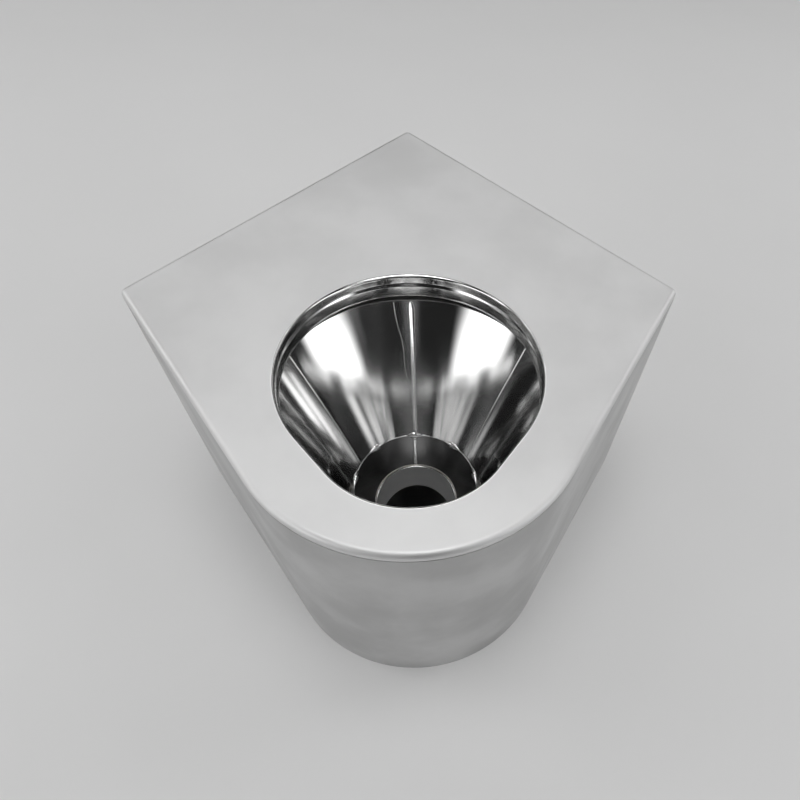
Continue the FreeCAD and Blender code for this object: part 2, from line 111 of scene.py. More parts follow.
class Finish(Bench):
    """The finish of one material, with its node tree."""

    MIX_FACTOR, MIX_FIRST, MIX_SECOND, MIX_RESULT = 0, 6, 7, 2

    def __init__(self, name):
        self.material = bpy.data.materials.new(name)
        self.material.use_nodes = True
        super().__init__(self.material.node_tree)
        self.shader = self.tree.nodes["Principled BSDF"]
        self.place = self.add("ShaderNodeTexCoord", {}, {}, "Object")

    def set(self, **values):
        for key, value in values.items():
            self.feed(self.shader.inputs[key.replace("_", " ")], value)

    def axis(self, name):
        """One coordinate of the surface's place."""
        return self.part(self.place, name)

    def noise(self, scale, detail=2.0, stretch=(1, 1, 1)):
        """Cloudy noise with a number of blots to the metre, which may be drawn out along an axis."""
        vector = self.add("ShaderNodeMapping", {}, {"Vector": self.place, "Scale": stretch})
        return self.add("ShaderNodeTexNoise", {}, {"Vector": vector, "Scale": scale, "Detail": detail})

    def blend(self, factor, dark, light):
        """A colour between a dark and a light one."""
        sockets = {self.MIX_FACTOR: factor, self.MIX_FIRST: (*dark, 1), self.MIX_SECOND: (*light, 1)}
        return self.add("ShaderNodeMix", {"data_type": "RGBA"}, sockets, self.MIX_RESULT)

    def bump(self, height, strength, distance):
        relief = {"Strength": strength, "Distance": distance, "Height": height}
        self.set(Normal=self.add("ShaderNodeBump", {}, relief))


MERGE_DISTANCE = 1e-6
SHARP_EDGE = math.radians(50)


def surface(name, columns, rows, place):
    """A grid whose points are laid by a formula of two shares from 0 to 1; edges that meet are joined."""
    bpy.ops.object.select_all(action="DESELECT")
    bpy.ops.mesh.primitive_grid_add(x_subdivisions=columns, y_subdivisions=rows, size=1)
    piece = bpy.context.object
    piece.name = name
    for vertex in piece.data.vertices:
        vertex.co = place(vertex.co.x + 0.5, vertex.co.y + 0.5)
    bpy.ops.object.mode_set(mode="EDIT")
    bpy.ops.mesh.select_all(action="SELECT")
    bpy.ops.mesh.remove_doubles(threshold=MERGE_DISTANCE)
    bpy.ops.object.mode_set(mode="OBJECT")
    bpy.ops.object.shade_smooth()
    return piece


def thicken(piece, thickness):
    """Give a surface the thickness of its sheet, behind the side that shows, with sharp cut edges."""
    sheet = piece.modifiers.new("sheet", "SOLIDIFY")
    sheet.thickness = thickness
    sheet.offset = -1
    bpy.ops.object.modifier_apply(modifier=sheet.name)
    bpy.ops.object.shade_smooth_by_angle(angle=SHARP_EDGE)
    return piece


def dress(piece, material, slot, *stands_for):
    """Give a finished piece its finish, its body and the CAD nodes that it stands for."""
    piece.data.materials.clear()
    piece.data.materials.append(material)
    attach(piece, "root")
    if stands_for:
        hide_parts(*stands_for)


BOWL_SHEET = 0.002
BOWL_FLARE = 0.013
BOWL_COLUMNS = 200
BOWL_ROWS = 24
EGG_REAR_R = 0.145
EGG_FRONT_R = 0.104
EGG_TILT = math.radians(37.7)
FLANK_POWER = 1.5
sump_low, sump_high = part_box("sump_ring")
bowl_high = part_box("bowl_panel_left")[1]
SUMP_Y = (sump_low.y + sump_high.y) / 2
SUMP_R = (sump_high.x - sump_low.x) / 2 - BOWL_SHEET
REAR_Y = bowl_high.y - BOWL_SHEET - EGG_REAR_R
FRONT_Y = REAR_Y - (EGG_REAR_R - EGG_FRONT_R) / math.sin(EGG_TILT)
REAR_SHARE = 0.56
FLAT_SHARE = 0.06


def egg_station(share):
    """Angle round the egg and how far from its rear to its front circle, at a share of the way round."""
    rear_end = math.pi + EGG_TILT
    front_end = 2 * math.pi - EGG_TILT
    stops = ((0, -EGG_TILT, 0), (REAR_SHARE, rear_end, 0), (REAR_SHARE + FLAT_SHARE, rear_end, 1),
             (1 - FLAT_SHARE, front_end, 1), (1, front_end, 0))
    for (start, angle, along), (end, next_angle, next_along) in zip(stops, stops[1:]):
        if share <= end:
            part = (share - start) / (end - start)
            return angle + (next_angle - angle) * part, along + (next_along - along) * part


def egg_point(share, outward, z):
    """A point on the egg of the bowl's top edge, or at a distance outside it."""
    angle, along = egg_station(share)
    radius = EGG_REAR_R + (EGG_FRONT_R - EGG_REAR_R) * along + outward
    middle = REAR_Y + (FRONT_Y - REAR_Y) * along
    return Vector((radius * math.cos(angle), middle + radius * math.sin(angle), z))


def flank(share):
    """How far round a place is to one side: 0 at the back and the nose, 1 at the middle of a flank."""
    return abs(math.cos(egg_station(share)[0])) ** FLANK_POWER


def bowl_point(share, depth):
    """A point on the inside of the bowl, from its top edge at depth 0 to its foot at depth 1."""
    angle = egg_station(share)[0]
    foot = Vector((SUMP_R * math.cos(angle), SUMP_Y + SUMP_R * math.sin(angle), sump_high.z))
    return egg_point(share, BOWL_FLARE * flank(share), bowl_high.z).lerp(foot, depth)


# The side seams' shares of the way round, at the top edge and at the foot.
SIDE_SEAMS = {"right": (0.1362, 0.1480), "left": (0.4313, 0.4203)}
seam_high = bowl_point(SIDE_SEAMS["right"][0], 0)
seam_low = bowl_point(SIDE_SEAMS["right"][1], 1)
SEAM_SLOPE = (seam_high.y - seam_low.y) / (seam_high.x - seam_low.x)
SEAM_START = seam_low.y - SEAM_SLOPE * seam_low.x


def polished_steel():
    """A hazy mirror polish, duller beside the top of the rear seam and smoothest on the front sheet."""
    finish = Finish("polished_steel")
    haze = finish.noise(scale=16, detail=4)
    beside_seam = 1 - finish.fade(abs(finish.axis("X")), start=0.004, end=0.016)
    behind = finish.fade(finish.axis("Y"), start=SUMP_Y + 0.02, end=SUMP_Y + 0.07)
    high = finish.fade(finish.axis("Z"), start=bowl_high.z - 0.085, end=bowl_high.z - 0.015)
    past_seam = finish.axis("Y") - abs(finish.axis("X")) * SEAM_SLOPE
    front = 1 - finish.fade(past_seam, start=SEAM_START - 0.004, end=SEAM_START + 0.004)
    finish.set(Base_Color=finish.blend(haze, dark=(0.60, 0.60, 0.60), light=(0.70, 0.70, 0.695)))
    finish.set(Metallic=1.0, Anisotropic=1.0, Anisotropic_Rotation=0.25)
    finish.set(Roughness=0.085 + haze * 0.035 + beside_seam * behind * high * 0.10 - front * 0.03)
    finish.bump(finish.noise(scale=20, detail=1) * (1 - front * 0.6), strength=0.10, distance=0.0012)
    return finish.material


polished = polished_steel()
bowl = thicken(surface("bowl", BOWL_COLUMNS, BOWL_ROWS, bowl_point), BOWL_SHEET)
dress(bowl, polished, "polished_steel", "bowl_panel_left", "bowl_panel_right", "bowl_panel_front")


# Bowl welds: the seams of the three sheets and of the cone ring under them. The rear seam is ground to a low
# crown and the side seams to narrow beads. The ring welds are ground away but for a few lumps, and the ring
# is painted dark inside, on the side that faces up, as painted shade.

def ground_weld():
    """Steel ground by hand, with marks drawn out up and down."""
    finish = Finish("ground_weld")
    marks = finish.noise(scale=240, detail=3, stretch=(1, 1, 0.15))
    finish.set(Base_Color=finish.blend(marks, dark=(0.70, 0.70, 0.70), light=(0.84, 0.84, 0.835)))
    finish.set(Roughness=0.16 + marks * 0.12, Metallic=1.0)
    finish.bump(marks, strength=0.3, distance=0.0003)
    return finish.material


def sump_steel():
    """Steel painted dark on the side that faces up, as painted shade."""
    finish = Finish("sump_steel")
    haze = finish.noise(scale=24, detail=3)
    facing = finish.add("ShaderNodeNewGeometry", {}, {}, "Normal")
    outside = 1 - finish.fade(finish.part(facing, "Z"), start=-0.1, end=0.1)
    # Painted shade: faces that look up get the dark colour, faces that look down the light one.
    finish.set(Base_Color=finish.blend(outside, dark=(0.14, 0.14, 0.14), light=(0.50, 0.50, 0.50)))
    finish.set(Roughness=0.18 + haze * 0.10, Metallic=1.0)
    return finish.material


def face_outwards(piece):
    """Turn all faces of a closed piece to its outside, and leave none of them selected."""
    bpy.ops.object.mode_set(mode="EDIT")
    bpy.ops.mesh.select_all(action="SELECT")
    bpy.ops.mesh.normals_make_consistent(inside=False)
    bpy.ops.mesh.select_all(action="DESELECT")
    bpy.ops.object.mode_set(mode="OBJECT")
    return piece


def wear(material, *names):
    """Give CAD nodes a finish."""
    for name in names:
        nodes[name].data.materials.clear()
        nodes[name].data.materials.append(material)


BEAD_SIDES = 10
RIPPLE_COLUMNS = 4
END_RIPPLES = 2


def bead(name, spine, size, ripples, relief, closed=False):
    """A weld bead along a spine, with a half width, a height and a ripple for each step of the torch."""
    half_width, height = size

    def place(along, round_share):
        point, across, out = spine(along)
        angle = 2 * math.pi * round_share
        swell = 1 + relief * math.cos(2 * math.pi * ripples * along)
        if not closed:
            swell *= min(1.0, min(along, 1 - along) * ripples / END_RIPPLES) ** 0.5
        return point + (across * (half_width * math.cos(angle)) + out * (height * math.sin(angle))) * swell
    return face_outwards(surface(name, ripples * RIPPLE_COLUMNS, BEAD_SIDES, place))


WAVER_RATE = 11
WAVER_GROWTH = 5


def on_bowl(share_top, share_foot, depth_end=1.0, waver=0.0, leans=(0.0, 0.0)):
    """The spine of a seam down the inside of the bowl, which may waver, and lean to one side."""
    step = 1e-3
    lean_top, lean_foot = leans

    def spine(along):
        depth = along * depth_end
        wave = waver * math.sin(WAVER_RATE * along + WAVER_GROWTH * along * along)
        share = share_top + (share_foot - share_top) * along + wave
        point = bowl_point(share, depth)
        round_way = bowl_point(share + step, depth) - point
        down = bowl_point(share, depth + step) - point
        out = round_way.cross(down).normalized()
        across = down.cross(out).normalized()
        upright = Matrix.Rotation(lean_top + (lean_foot - lean_top) * along, 3, down)
        return point, upright @ across, upright @ out
    return spine


LUMP_LEAST = 0.08
LUMP_POWER = 4


def round_sump(radius, z, lumps):
    """The spine of a ring weld on the inside of the sump, ground away but for a number of lumps."""
    def spine(along):
        angle = 2 * math.pi * along
        lump = LUMP_LEAST + (1 - LUMP_LEAST) * (0.5 + 0.5 * math.sin(lumps * angle)) ** LUMP_POWER
        radial = Vector((math.cos(angle), math.sin(angle), 0))
        up = Vector((0, 0, 1))
        corner = Vector((0, SUMP_Y, z)) + radial * radius
        return corner, (up + radial).normalized() * lump, (up - radial).normalized() * lump
    return spine


def straight(start, end, out):
    """The spine of a straight weld."""
    across = (end - start).cross(out).normalized()

    def spine(along):
        return start.lerp(end, along), across, out
    return spine


REAR_SEAM = REAR_SHARE / 2
REAR_LEANS = (math.radians(19), math.radians(33))
REAR_BEAD = (0.0050, 0.0009)
LINE_TOP = REAR_SEAM + 0.0190
LINE_FOOT = REAR_SEAM + 0.003
LINE_DEPTH = 0.85
LINE_WAVER = 0.0012
LINE_BEAD = (0.0006, 0.0006)
SIDE_BEAD = (0.0013, 0.0008)
SUMP_BEAD = (0.0026, 0.0004)
RING_BEAD = (0.0046, 0.0017)
RING_LUMPS = 9
THROAT_BEAD = (0.0014, 0.0007)
THROAT_LUMPS = 5
TUBE_WALL = 0.0015
throat_low, throat_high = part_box("trap_inlet_tube")
TUBE_R = (throat_high.x - throat_low.x) / 2
THROAT_R = TUBE_R - TUBE_WALL
ground = ground_weld()
wear(sump_steel(), "sump_ring")
rear_spine = on_bowl(REAR_SEAM, REAR_SEAM, leans=REAR_LEANS)
dress(bead("rear_seam", rear_spine, REAR_BEAD, ripples=40, relief=0.03), ground, "polished_steel")
line_spine = on_bowl(LINE_TOP, LINE_FOOT, LINE_DEPTH, LINE_WAVER)
dress(bead("rear_seam_line", line_spine, LINE_BEAD, ripples=40, relief=0.2), polished, "polished_steel")
for hand, (top, foot) in SIDE_SEAMS.items():
    side_seam = bead("side_seam_" + hand, on_bowl(top, foot), SIDE_BEAD, ripples=60, relief=0.08)
    dress(side_seam, polished, "polished_steel")
ring_top = Vector((0, SUMP_Y + SUMP_R, sump_high.z))
ring_foot = Vector((0, SUMP_Y + THROAT_R, sump_low.z))
ring_out = Vector((-1, 0, 0)).cross(ring_foot - ring_top).normalized()
sump_spine = straight(ring_top, ring_foot, ring_out)
dress(bead("sump_seam", sump_spine, SUMP_BEAD, ripples=12, relief=0.15), ground, "polished_steel")
sump_spine = round_sump(SUMP_R, sump_high.z, RING_LUMPS)
sump_weld = bead("sump_weld", sump_spine, RING_BEAD, ripples=90, relief=0.10, closed=True)
dress(sump_weld, polished, "polished_steel")
throat_spine = round_sump(THROAT_R, sump_low.z, THROAT_LUMPS)
throat_weld = bead("throat_weld", throat_spine, THROAT_BEAD, ripples=60, relief=0.1, closed=True)
dress(throat_weld, polished, "polished_steel")


# Trap: straight tube and mitred segments with a dull mill finish, butt welded from outside, with the straw
# and blue tints that the torch leaves in each bead. The throat's tube is painted brighter than the rest, as
# painted light.

def mill_steel():
    """Steel as it leaves the rolling mill."""
    finish = Finish("mill_steel")
    cloud = finish.noise(scale=16, detail=3)
    finish.set(Base_Color=finish.blend(cloud, dark=(0.44, 0.44, 0.44), light=(0.57, 0.57, 0.565)))
    finish.set(Roughness=0.36 + cloud * 0.18, Metallic=1.0)
    finish.bump(finish.noise(scale=500, detail=2), strength=0.2, distance=0.0003)
    return finish.material


def throat_steel():
    """Matt steel with a near-white colour, as painted light down the throat."""
    finish = Finish("throat_steel")
    cloud = finish.noise(scale=30, detail=3)
    # Painted light: this base colour, far above the mill steel's, stands in for light falling down the
    # throat.
    finish.set(Base_Color=finish.blend(cloud, dark=(0.84, 0.84, 0.84), light=(0.93, 0.93, 0.925)))
    finish.set(Roughness=0.52 + cloud * 0.14, Metallic=1.0)
    return finish.material


def raw_weld():
    """A bead as the torch leaves it, from straw to blue."""
    finish = Finish("raw_weld")
    tint = finish.noise(scale=120, detail=3)
    finish.set(Base_Color=finish.blend(tint, dark=(0.30, 0.31, 0.36), light=(0.62, 0.56, 0.45)))
    finish.set(Roughness=0.26 + tint * 0.14, Metallic=1.0)
    return finish.material


def ring(centre, first, second):
    """The spine of a closed ring through two half axes."""
    across = first.cross(second).normalized()

    def spine(along):
        angle = 2 * math.pi * along
        arm = first * math.cos(angle) + second * math.sin(angle)
        return centre + arm, across, arm.normalized()
    return spine


RAW_RELIEF = 0.14
MITRE_BEAD = (0.0028, 0.0012)
MITRE_RIPPLES = 88
OUTLET_BEAD = (0.0028, 0.0010)
THROAT_BACK_BEAD = (0.0030, 0.0011)
TUBE_RIPPLES = 86
BEND_PLACES = ("front", "middle", "rear")
throat = throat_steel()
mill = mill_steel()
torch = raw_weld()
wear(throat, "trap_inlet_tube")
wear(mill, "trap_riser", "trap_crown_bend_end", "outlet_spigot")
wear(mill, *[f"trap_{bend}_{place}" for bend in ("u_bend", "crown_bend") for place in BEND_PLACES])
riser_low, riser_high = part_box("trap_riser")
outlet_low, outlet_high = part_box("outlet_spigot")
RISER_Y = (riser_low.y + riser_high.y) / 2
OUTLET_Y = (outlet_low.y + outlet_high.y) / 2
BEND_R = (RISER_Y - SUMP_Y) / 2
U_BEND_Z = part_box("trap_u_bend_middle")[0].z + BEND_R + TUBE_R
CROWN_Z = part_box("trap_crown_bend_middle")[1].z - BEND_R - TUBE_R
MITRES = len(BEND_PLACES) + 1
MITRE_TURN = math.pi / MITRES
MITRE_STRETCH = 1 / math.cos(MITRE_TURN / 2)
tube_side = Vector((TUBE_R, 0, 0))
tube_back = Vector((0, TUBE_R, 0))
u_bend_middle = Vector((0, SUMP_Y + BEND_R, U_BEND_Z))
crown_middle = Vector((0, RISER_Y + BEND_R, CROWN_Z))
for bend, middle, upward in (("u_bend", u_bend_middle, -1), ("crown_bend", crown_middle, 1)):
    for number in range(MITRES):
        angle = MITRE_TURN * (number + 0.5)
        radial = Vector((0, -math.cos(angle), upward * math.sin(angle))) * MITRE_STRETCH
        mitre_spine = ring(middle + radial * BEND_R, tube_side, radial * TUBE_R)
        mitre = bead(f"{bend}_weld_{number + 1}", mitre_spine, MITRE_BEAD, MITRE_RIPPLES, RAW_RELIEF,
                     closed=True)
        dress(mitre, torch, "mill_steel")
outlet_spine = ring(Vector((0, OUTLET_Y, CROWN_Z)), tube_side, tube_back)
outlet_weld = bead("outlet_weld", outlet_spine, OUTLET_BEAD, TUBE_RIPPLES, RAW_RELIEF, closed=True)
dress(outlet_weld, torch, "mill_steel")
back_spine = ring(Vector((0, SUMP_Y, sump_low.z)), tube_side, tube_back)
throat_back_weld = bead("throat_back_weld", back_spine, THROAT_BACK_BEAD, TUBE_RIPPLES, RAW_RELIEF,
                        closed=True)
dress(throat_back_weld, torch, "mill_steel")


# Flushing rim: a stepped, polished lip round the opening with a rolled hem, and behind it a box channel of an
# upright wall and a flat floor ring, welded to the deck from below. Flush water leaves through the slot
# between the hem and the floor ring.

CHANNEL_OUTWARD = 0.025
CHANNEL_BEAD = (0.0020, 0.0016)
CHANNEL_RIPPLES = 300
WELD_SINK = 0.0005
LIP_SHEET = 0.002
LIP_ROUND = 0.004
LIP_REACH = 0.007
LIP_STEP_Z = 0.010
LIP_STEP_FALL = 0.005
LIP_DRAW = 0.6
LIP_BENDS = 8
HEM_DROP = 0.0012
HEM_BEAD = (0.0018, 0.0014)
lip_foot, lip_top = [corner.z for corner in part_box("rim_ring")]
lip_section = []
for number in range(LIP_BENDS + 1):
    angle = math.pi / 2 * number / LIP_BENDS
    lip_section.append((LIP_ROUND * math.sin(angle), lip_top - LIP_ROUND * (1 - math.cos(angle))))
for number in range(LIP_BENDS + 1):
    part = number / LIP_BENDS
    step_in = (LIP_REACH - LIP_ROUND) * part * part * (3 - 2 * part)
    lip_section.append((LIP_ROUND + step_in, lip_top - LIP_STEP_Z - LIP_STEP_FALL * part))
lip_section.append((LIP_REACH, lip_foot))


def lip_point(share, step):
    """A point on the lip's face: its section round the opening, which reaches in less at the flanks."""
    inward, z = lip_section[round(step * (len(lip_section) - 1))]
    return egg_point(share, LIP_REACH - inward * (1 - LIP_DRAW * flank(share)), z)


lip = thicken(surface("rim_lip", BOWL_COLUMNS, len(lip_section) - 1, lip_point), LIP_SHEET)
dress(lip, polished, "polished_steel", "rim_ring")
floor_low, floor_high = [corner.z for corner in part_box("rim_channel_floor")]
floor_section = ((0, floor_low), (1, floor_low), (1, floor_high), (0, floor_high), (0, floor_low))


def floor_point(share, step):
    """A point on the channel's flat floor ring, which ends at the bowl's top edge."""
    outer, z = floor_section[round(step * (len(floor_section) - 1))]
    inner_edge = BOWL_FLARE * flank(share)
    return egg_point(share, inner_edge + (CHANNEL_OUTWARD - inner_edge) * outer, z)


channel_floor = face_outwards(surface("channel_floor", BOWL_COLUMNS, len(floor_section) - 1, floor_point))
bpy.ops.object.shade_smooth_by_angle(angle=SHARP_EDGE)
dress(channel_floor, mill, "mill_steel", "rim_channel_floor")
wear(mill, "rim_channel_wall")


def round_rim(outward, z, draw=0.0):
    """The spine of a bead round the rim, at a distance outside the egg that may grow at the flanks."""
    step = 0.01

    def spine(along):
        distance = outward + draw * flank(along)
        here = egg_point(along, distance, z)
        out = (here - egg_point(along, distance - step, z)).normalized()
        return here, Vector((0, 0, 1)), out
    return spine


hem_spine = round_rim(LIP_SHEET / 2, lip_foot - HEM_DROP, LIP_REACH * LIP_DRAW)
dress(bead("lip_hem", hem_spine, HEM_BEAD, ripples=100, relief=0, closed=True), polished, "polished_steel")
deck_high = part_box("deck_plate")[1]
DECK_SHEET = 0.002
DECK_UNDER = deck_high.z - DECK_SHEET
channel_welds = {"channel_top_weld": DECK_UNDER - WELD_SINK, "channel_foot_weld": bowl_high.z + WELD_SINK}
for name, z in channel_welds.items():
    weld_spine = round_rim(CHANNEL_OUTWARD, z)
    dress(bead(name, weld_spine, CHANNEL_BEAD, CHANNEL_RIPPLES, RAW_RELIEF, closed=True), torch, "mill_steel")


# Flush inlet: a short steel tube welded to the back of the rim's channel, and a ribbed rubber cuff pushed
# over its end, into which the flush pipe slides.

def rubber():
    """Matt moulded rubber."""
    finish = Finish("rubber")
    cloud = finish.noise(scale=60, detail=3)
    finish.set(Base_Color=finish.blend(cloud, dark=(0.018, 0.018, 0.018), light=(0.045, 0.045, 0.045)))
    finish.set(Roughness=0.48 + cloud * 0.2)
    finish.bump(finish.noise(scale=900, detail=2), strength=0.2, distance=0.0002)
    return finish.material


wear(mill, "flush_inlet_pipe")
pipe_low, pipe_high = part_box("flush_inlet_pipe")
cuff_low, cuff_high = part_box("flush_inlet_seal")
FLUSH_Z = (pipe_low.z + pipe_high.z) / 2
FLUSH_R = (pipe_high.x - pipe_low.x) / 2
FLUSH_WALL = 0.0015
FLUSH_BEAD = (0.0022, 0.0016)
FLUSH_RIPPLES = 30
CUFF_R = (cuff_high.x - cuff_low.x) / 2
CUFF_STOP = 0.003
CUFF_GROOVE = 0.0012
CUFF_LIP = 0.0015
CUFF_GROOVES = (0.18, 0.34, 0.62, 0.78)
CUFF_COLUMNS = 64
stop_low = pipe_high.y
stop_high = stop_low + CUFF_STOP
cuff_section = [(cuff_low.y, FLUSH_R + CUFF_LIP), (cuff_low.y, CUFF_R - CUFF_LIP),
                (cuff_low.y + CUFF_LIP, CUFF_R)]
for share in CUFF_GROOVES:
    y = cuff_low.y + (cuff_high.y - cuff_low.y) * share
    cuff_section += [(y - 2 * CUFF_GROOVE, CUFF_R), (y - CUFF_GROOVE, CUFF_R - CUFF_GROOVE),
                     (y + CUFF_GROOVE, CUFF_R - CUFF_GROOVE), (y + 2 * CUFF_GROOVE, CUFF_R)]
cuff_section += [(cuff_high.y - CUFF_LIP, CUFF_R), (cuff_high.y, CUFF_R - CUFF_LIP),
                 (cuff_high.y, FLUSH_R + CUFF_LIP), (cuff_high.y - CUFF_LIP, FLUSH_R),
                 (stop_high, FLUSH_R), (stop_high, FLUSH_R - FLUSH_WALL),
                 (stop_low, FLUSH_R - FLUSH_WALL), (stop_low, FLUSH_R), (cuff_low.y + CUFF_LIP, FLUSH_R)]
cuff_section.append(cuff_section[0])


def cuff_point(round_share, step):
    """A point on the cuff: its section carried round the flush tube."""
    y, radius = cuff_section[round(step * (len(cuff_section) - 1))]
    angle = 2 * math.pi * round_share
    return Vector((radius * math.cos(angle), y, FLUSH_Z + radius * math.sin(angle)))


cuff = face_outwards(surface("flush_cuff", CUFF_COLUMNS, len(cuff_section) - 1, cuff_point))
bpy.ops.object.shade_smooth_by_angle(angle=SHARP_EDGE)
dress(cuff, rubber(), "rubber", "flush_inlet_seal")


def pipe_foot(along):
    """The spine of the weld where the flush tube meets the round back of the channel."""
    angle = 2 * math.pi * along
    x = FLUSH_R * math.cos(angle)
    y = REAR_Y + math.sqrt((EGG_REAR_R + CHANNEL_OUTWARD) ** 2 - x * x)
    radial = Vector((math.cos(angle), 0, math.sin(angle)))
    return Vector((x, y, FLUSH_Z + FLUSH_R * math.sin(angle))), Vector((0, 1, 0)), radial


pipe_weld = bead("flush_pipe_weld", pipe_foot, FLUSH_BEAD, FLUSH_RIPPLES, RAW_RELIEF, closed=True)
dress(pipe_weld, torch, "mill_steel")


# Deck: one flat sheet with its edges folded down, laid on the rim and welded to its lip, then ground to an
# even satin all over.

def satin_steel(name, clouds, dark, light):
    """Ground steel whose grinding marks leave a number of clouds to the metre, between two shades."""
    finish = Finish(name)
    cloud = finish.fade(finish.noise(clouds, detail=4), start=0.28, end=0.72)
    grain = finish.noise(scale=800, detail=2)
    waves = finish.noise(scale=6, detail=2)
    finish.set(Base_Color=finish.blend(cloud, (dark, dark, dark), (light, light, light)))
    finish.set(Roughness=0.50 + cloud * 0.13, Metallic=1.0)
    finish.bump(grain * 0.1 + waves, strength=0.2, distance=0.0015)
    return finish.material


wear(satin_steel("satin_deck", clouds=9, dark=0.71, light=0.80), "deck_plate")


# Deck stiffeners: two channel-section rails under the deck's flanks, held by short stitch welds along both
# edges.

wear(mill, "deck_rail_left", "deck_rail_right")
ROOT_HALF = math.sqrt(0.5)
STITCH = 0.024
STITCH_SPACING = 0.060
STITCH_RIPPLES = 8
RAIL_BEAD = (0.0022, 0.0016)
HANDS = ((-1, "left"), (1, "right"))


def along_wall(side):
    """The direction along one wall from the back corner."""
    return Vector((side * ROOT_HALF, -ROOT_HALF, 0))


def from_wall(side):
    """The direction from one wall into the pan."""
    return Vector((-side * ROOT_HALF, -ROOT_HALF, 0))


def reach(name, direction):
    """The least and greatest distance of a CAD node along a direction."""
    distances = [vertex.co.dot(direction) for vertex in nodes[name].data.vertices]
    return min(distances), max(distances)


def joined(name, pieces):
    """Several finished pieces made one."""
    bpy.ops.object.select_all(action="DESELECT")
    for piece in pieces:
        piece.select_set(True)
    bpy.context.view_layer.objects.active = pieces[0]
    bpy.ops.object.join()
    pieces[0].name = name
    return pieces[0]


for side, hand in HANDS:
    along, inward = along_wall(side), from_wall(side)
    start, end = reach("deck_rail_" + hand, along)
    stitches = []
    for depth, face in zip(reach("deck_rail_" + hand, inward), (-1, 1)):
        for number in range(int((end - start) / STITCH_SPACING) + 1):
            first = start + number * STITCH_SPACING
            foot = inward * depth + Vector((0, 0, DECK_UNDER - WELD_SINK))
            out = (inward * face - Vector((0, 0, 1))).normalized()
            spine = straight(foot + along * first, foot + along * min(first + STITCH, end), out)
            stitches.append(bead("stitch", spine, RAIL_BEAD, STITCH_RIPPLES, RAW_RELIEF))
    dress(joined("rail_stitches_" + hand, stitches), torch, "mill_steel")


# Damping pads: sheets of bitumen glued under the deck beside the stiffeners, with a pattern of low studs
# rolled into their lower side.

def bitumen():
    """Matt bitumen sheet."""
    finish = Finish("bitumen")
    cloud = finish.noise(scale=40, detail=4)
    finish.set(Base_Color=finish.blend(cloud, dark=(0.030, 0.030, 0.032), light=(0.075, 0.074, 0.072)))
    finish.set(Roughness=0.62 + cloud * 0.2)
    finish.bump(finish.noise(scale=1200, detail=3), strength=0.35, distance=0.0003)
    return finish.material


PAD_STUD = 0.0007
PAD_EDGE = 0.003
PAD_CUTS = 11
FACES_DOWN = -0.9
pad_finish = bitumen()
for side, hand in HANDS:
    along, inward = along_wall(side), from_wall(side)
    low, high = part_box("sound_pad_" + hand)
    start, end = reach("sound_pad_" + hand, along)
    near, far = reach("sound_pad_" + hand, inward)
    thickness = high.z - low.z - PAD_STUD
    middle = along * ((start + end) / 2) + inward * ((near + far) / 2)
    middle.z = high.z - thickness / 2
    turned = Matrix((along, inward, along.cross(inward))).transposed().to_4x4()
    size = Matrix.Diagonal((end - start, far - near, thickness, 1))
    bpy.ops.object.select_all(action="DESELECT")
    bpy.ops.mesh.primitive_cube_add(size=1)
    pad = bpy.context.object
    pad.name = "damping_pad_" + hand
    pad.data.transform(Matrix.Translation(middle) @ turned @ size)
    face_outwards(pad)
    for face in pad.data.polygons:
        face.select = face.normal.z < FACES_DOWN
    bpy.ops.object.mode_set(mode="EDIT")
    bpy.ops.mesh.select_mode(type="FACE")
    bpy.ops.mesh.inset(thickness=PAD_EDGE)
    bpy.ops.mesh.subdivide(number_cuts=PAD_CUTS)
    bpy.ops.mesh.poke(offset=PAD_STUD)
    bpy.ops.object.mode_set(mode="OBJECT")
    dress(pad, pad_finish, "damping_pad", "sound_pad_" + hand)


# Earth point: a threaded steel stud welded under the deck, with a flat tag for the earth wire held on it by
# a washer and a hexagon nut.

def fastener_steel():
    """Plain turned steel."""
    finish = Finish("fastener_steel")
    cloud = finish.noise(scale=180, detail=3)
    finish.set(Base_Color=finish.blend(cloud, dark=(0.55, 0.55, 0.54), light=(0.68, 0.68, 0.67)))
    finish.set(Roughness=0.24 + cloud * 0.14, Metallic=1.0)
    return finish.material


THREAD_DEPTH = 0.6
LATHE_COLUMNS = 48


def thread_cut(angle, height, pitch):
    """How deep a thread is cut at a place on its cylinder: 0 at the crest, most at the root."""
    phase = (height / pitch - angle / (2 * math.pi)) % 1
    return THREAD_DEPTH * pitch * abs(2 * phase - 1)


def lathe(name, rows, place):
    """A round closed piece from a formula of angle and row."""
    def turned_point(share, step):
        return place(2 * math.pi * share, round(step * rows))
    return face_outwards(surface(name, LATHE_COLUMNS, rows, turned_point))


NUT_ROWS = 40
NUT_OUTSIDE_ROWS = 5
NUT_CROWN = 0.48
NUT_CHAMFER = math.tan(math.radians(30))
NUT_EDGE = math.radians(35)


def hexagon_nut(name, flats, height, bore, pitch):
    """A chamfered nut standing on the origin, with a threaded bore."""
    crown = NUT_CROWN * flats

    def place(angle, row):
        corner = flats / 2 / math.cos(angle % (math.pi / 3) - math.pi / 6)
        chamfer = (corner - crown) * NUT_CHAMFER
        if row <= NUT_ROWS:
            z = height * row / NUT_ROWS
            radius = bore + thread_cut(angle, z, pitch)
        else:
            radius, z = ((crown, height), (corner, height - chamfer), (corner, chamfer), (crown, 0),
                         (bore + thread_cut(angle, 0, pitch), 0))[row - NUT_ROWS - 1]
        return Vector((radius * math.cos(angle), radius * math.sin(angle), z))
    piece = lathe(name, NUT_ROWS + NUT_OUTSIDE_ROWS, place)
    bpy.ops.object.shade_smooth_by_angle(angle=NUT_EDGE)
    return piece


fastener = fastener_steel()
wear(fastener, "earth_tag")
stud_low, stud_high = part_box("earth_stud")
STUD_R = (stud_high.x - stud_low.x) / 2
STUD_PITCH = 0.001
STUD_ROWS = 96
stud_place = Vector(((stud_low.x + stud_high.x) / 2, (stud_low.y + stud_high.y) / 2, 0))


